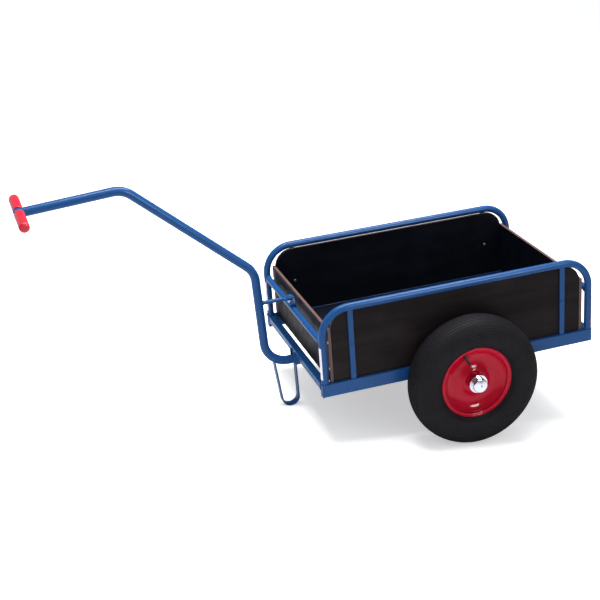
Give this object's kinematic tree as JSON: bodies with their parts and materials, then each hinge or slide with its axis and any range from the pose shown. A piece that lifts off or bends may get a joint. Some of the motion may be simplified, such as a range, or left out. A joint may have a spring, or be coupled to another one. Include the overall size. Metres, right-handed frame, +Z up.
{
  "type": "two-wheel hand cart",
  "caption": "Hand cart with a plywood box in a tube frame, two pneumatic wheels on one axle, a bent drawbar with a cross handle, and a loop stand.",
  "frame": {"origin": "on the floor, in the middle of the parked cart's footprint, with both tyres and the stand on z = 0", "axes": "+Z up from the floor, +X from the handle to the tail, +Y across to the cart's right side"},
  "size_m": [1.696, 0.7916, 0.7226],
  "materials": {
    "frame_paint": "gentian blue powder coat, semi-gloss with a fine orange-peel texture",
    "rim_paint": "gloss red paint on pressed steel",
    "film_plywood": "birch plywood faced with a dark phenolic film, brown sealed edges showing the plies",
    "tyre_rubber": "moulded black rubber with circumferential ribs",
    "soft_rubber": "soft black rubber",
    "black_plastic": "matt black moulded plastic",
    "grip_plastic": "dipped red PVC with a soft gloss",
    "zinc_fastener": "bright zinc plating",
    "bright_steel": "drawn bright steel",
    "hub_chrome": "polished chrome plating",
    "reflector_white": "white retroreflective tape",
    "reflector_red": "red retroreflective tape"
  },
  "bodies": {
    "cart": {"side_rail_left": "frame_paint", "side_rail_right": "frame_paint", "rail_end_plates": "frame_paint", "front_rail": "frame_paint", "rear_rail": "frame_paint", "floor_bearers": "frame_paint", "side_hoop_left": "frame_paint", "side_hoop_right": "frame_paint", "uprights": "frame_paint", "front_cross_tube": "frame_paint", "rear_cross_tube": "frame_paint", "white_reflectors": "reflector_white", "red_reflectors": "reflector_red", "side_board_left": "film_plywood", "side_board_right": "film_plywood", "front_board": "film_plywood", "rear_board": "film_plywood", "floor_board": "film_plywood", "corner_screws": "zinc_fastener", "floor_screws": "zinc_fastener", "board_bolts": "frame_paint", "board_nuts": "zinc_fastener", "drawbar_tube": "frame_paint", "drawbar_end_cap": "frame_paint", "handle_crossbar": "frame_paint", "grip_left": "grip_plastic", "grip_right": "grip_plastic", "drawbar_cheeks": "frame_paint", "drawbar_bolt": "frame_paint", "drawbar_nut": "zinc_fastener", "brace_rod": "frame_paint", "brace_bracket": "frame_paint", "brace_bolt": "frame_paint", "brace_washer": "zinc_fastener", "brace_nut": "zinc_fastener", "stand_loop": "frame_paint", "axle": "bright_steel", "axle_plates": "frame_paint", "axle_collars": "bright_steel", "hub_washers": "hub_chrome", "hub_caps": "hub_chrome"},
    "left_wheel": {"left_tyre": "tyre_rubber", "left_inner_tube": "soft_rubber", "left_valve_stem": "soft_rubber", "left_valve_cap": "black_plastic", "left_rim_barrel": "rim_paint", "left_wheel_disc": "rim_paint", "left_hub_tube": "rim_paint", "left_bearing_cage": "black_plastic", "left_bearing_rollers": "bright_steel"},
    "right_wheel": {"right_tyre": "tyre_rubber", "right_inner_tube": "soft_rubber", "right_valve_stem": "soft_rubber", "right_valve_cap": "black_plastic", "right_rim_barrel": "rim_paint", "right_wheel_disc": "rim_paint", "right_hub_tube": "rim_paint", "right_bearing_cage": "black_plastic", "right_bearing_rollers": "bright_steel"}
  },
  "joints": [
    {"name": "left_wheel_spin", "type": "hinge", "parent": "cart", "child": "left_wheel", "pos_m": [0.43076, -0.337, 0.2], "axis": [0, 1, 0], "continuous": true},
    {"name": "right_wheel_spin", "type": "hinge", "parent": "cart", "child": "right_wheel", "pos_m": [0.43076, 0.337, 0.2], "axis": [0, 1, 0], "continuous": true}
  ]
}
